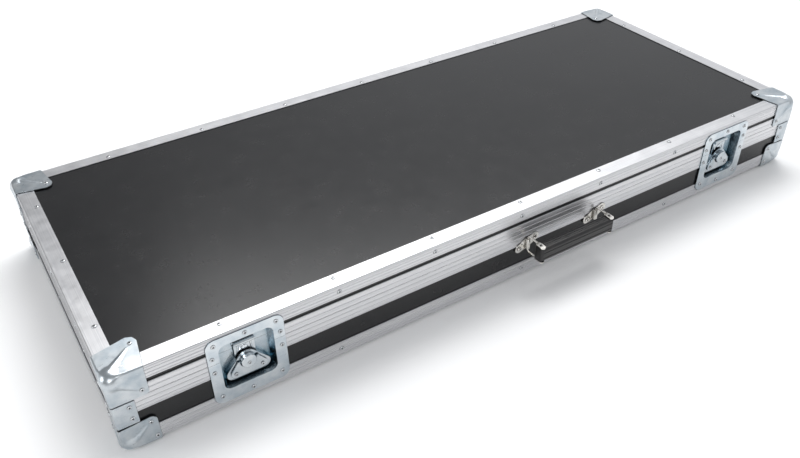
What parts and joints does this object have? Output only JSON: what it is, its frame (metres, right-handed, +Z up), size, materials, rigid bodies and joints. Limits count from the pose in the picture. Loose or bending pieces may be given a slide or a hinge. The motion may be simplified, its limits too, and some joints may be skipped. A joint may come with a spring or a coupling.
{
  "type": "guitar flight case",
  "caption": "Long flat case of black laminate in ribbed aluminium edging, with ball corners, recessed twist latches, a swinging grip, back hinges and a foam lining.",
  "frame": {"origin": "on the surface that the case stands on, under the middle of its box, grip and hinges included", "axes": "+X along the length, from the left end to the right; -Y out of the front, with the latches and the grip; +Z up"},
  "size_m": [1.274, 0.5628, 0.1366],
  "materials": {
    "laminate": "black phenolic film on plywood, satin",
    "extrusion": "ribbed extrusion, satin anodised",
    "zinc_steel": "pressed steel, bright zinc plated",
    "nickel_steel": "nickel plated steel",
    "grip": "moulded soft plastic",
    "foam": "foam under black pile"
  },
  "bodies": {
    "base": {"base_bottom_panel": "laminate", "base_corner_braces": "zinc_steel", "base_front_panel": "laminate", "base_right_panel": "laminate", "base_back_panel": "laminate", "base_left_panel": "laminate", "base_angle_front": "extrusion", "base_angle_right": "extrusion", "base_angle_back": "extrusion", "base_angle_left": "extrusion", "base_lip_front": "extrusion", "base_lip_right": "extrusion", "base_lip_back": "extrusion", "base_lip_left": "extrusion", "base_ball_corner_front_left": "zinc_steel", "base_ball_corner_back_left": "zinc_steel", "base_ball_corner_front_right": "zinc_steel", "base_ball_corner_back_right": "zinc_steel", "latch_dish_base_left": "zinc_steel", "latch_housing_left": "zinc_steel", "latch_dish_base_right": "zinc_steel", "latch_housing_right": "zinc_steel", "handle_bracket_left": "nickel_steel", "handle_bracket_right": "nickel_steel", "hinge_base_leaves": "zinc_steel", "base_foam": "foam"},
    "lid": {"lid_top_panel": "laminate", "lid_front_panel": "laminate", "lid_right_panel": "laminate", "lid_back_panel": "laminate", "lid_left_panel": "laminate", "lid_angle_front": "extrusion", "lid_angle_right": "extrusion", "lid_angle_back": "extrusion", "lid_angle_left": "extrusion", "lid_lip_front": "extrusion", "lid_lip_right": "extrusion", "lid_lip_back": "extrusion", "lid_lip_left": "extrusion", "lid_ball_corner_front_left": "zinc_steel", "lid_ball_corner_back_left": "zinc_steel", "lid_ball_corner_front_right": "zinc_steel", "lid_ball_corner_back_right": "zinc_steel", "latch_dish_lid_left": "zinc_steel", "latch_keeper_left": "zinc_steel", "latch_dish_lid_right": "zinc_steel", "latch_keeper_right": "zinc_steel", "hinge_lid_leaves": "zinc_steel", "lid_foam": "foam"},
    "rotor_left": {"latch_rotor_left": "zinc_steel", "latch_wing_pin_left": "zinc_steel"},
    "wings_left": {"latch_wings_left": "zinc_steel"},
    "strap_left": {"latch_strap_left": "zinc_steel"},
    "rotor_right": {"latch_rotor_right": "zinc_steel", "latch_wing_pin_right": "zinc_steel"},
    "wings_right": {"latch_wings_right": "zinc_steel"},
    "strap_right": {"latch_strap_right": "zinc_steel"},
    "bail_left": {"handle_bail_left": "nickel_steel"},
    "bail_right": {"handle_bail_right": "nickel_steel"},
    "grip": {"handle_grip": "grip"}
  },
  "joints": [
    {"name": "lid_hinge", "type": "hinge", "parent": "base", "child": "lid", "pos_m": [0, 0.27837, 0.08745], "axis": [-1, 0, 0], "range_deg": [0, 95]},
    {"name": "latch_left_turn", "type": "hinge", "parent": "base", "child": "rotor_left", "pos_m": [-0.455, -0.23913, 0.0681], "axis": [0, -1, 0], "range_deg": [0, 180]},
    {"name": "latch_left_hook", "type": "slide", "parent": "base", "child": "strap_left", "axis": [0, 0, 1], "range_m": [0, 0.007]},
    {"name": "latch_left_wings", "type": "hinge", "parent": "rotor_left", "child": "wings_left", "pos_m": [-0.455, -0.23572, 0.0681], "axis": [-1, 0, 0], "range_deg": [0, 90]},
    {"name": "latch_right_turn", "type": "hinge", "parent": "base", "child": "rotor_right", "pos_m": [0.455, -0.23913, 0.0681], "axis": [0, -1, 0], "range_deg": [0, 180]},
    {"name": "latch_right_hook", "type": "slide", "parent": "base", "child": "strap_right", "axis": [0, 0, 1], "range_m": [0, 0.007]},
    {"name": "latch_right_wings", "type": "hinge", "parent": "rotor_right", "child": "wings_right", "pos_m": [0.455, -0.23572, 0.0681], "axis": [-1, 0, 0], "range_deg": [0, 90]},
    {"name": "handle_swing", "type": "hinge", "parent": "base", "child": "bail_left", "pos_m": [0.011, -0.24343, 0.0661], "axis": [0, 0, 1], "range_deg": [-60, 60]},
    {"name": "handle_swing_right", "type": "hinge", "parent": "base", "child": "bail_right", "pos_m": [0.151, -0.24343, 0.0661], "axis": [0, 0, 1], "range_deg": [-60, 60]},
    {"name": "handle_grip_turn", "type": "hinge", "parent": "bail_left", "child": "grip", "pos_m": [0.011, -0.27213, 0.0661], "axis": [0, 0, 1], "range_deg": [-60, 60]}
  ],
  "couplings": [
    {"joint": "latch_left_hook", "follows": "latch_left_turn", "m_per_rad": 0.0022281},
    {"joint": "latch_right_hook", "follows": "latch_right_turn", "m_per_rad": 0.0022281},
    {"joint": "handle_swing_right", "follows": "handle_swing", "ratio": 1},
    {"joint": "handle_grip_turn", "follows": "handle_swing", "ratio": -1}
  ]
}
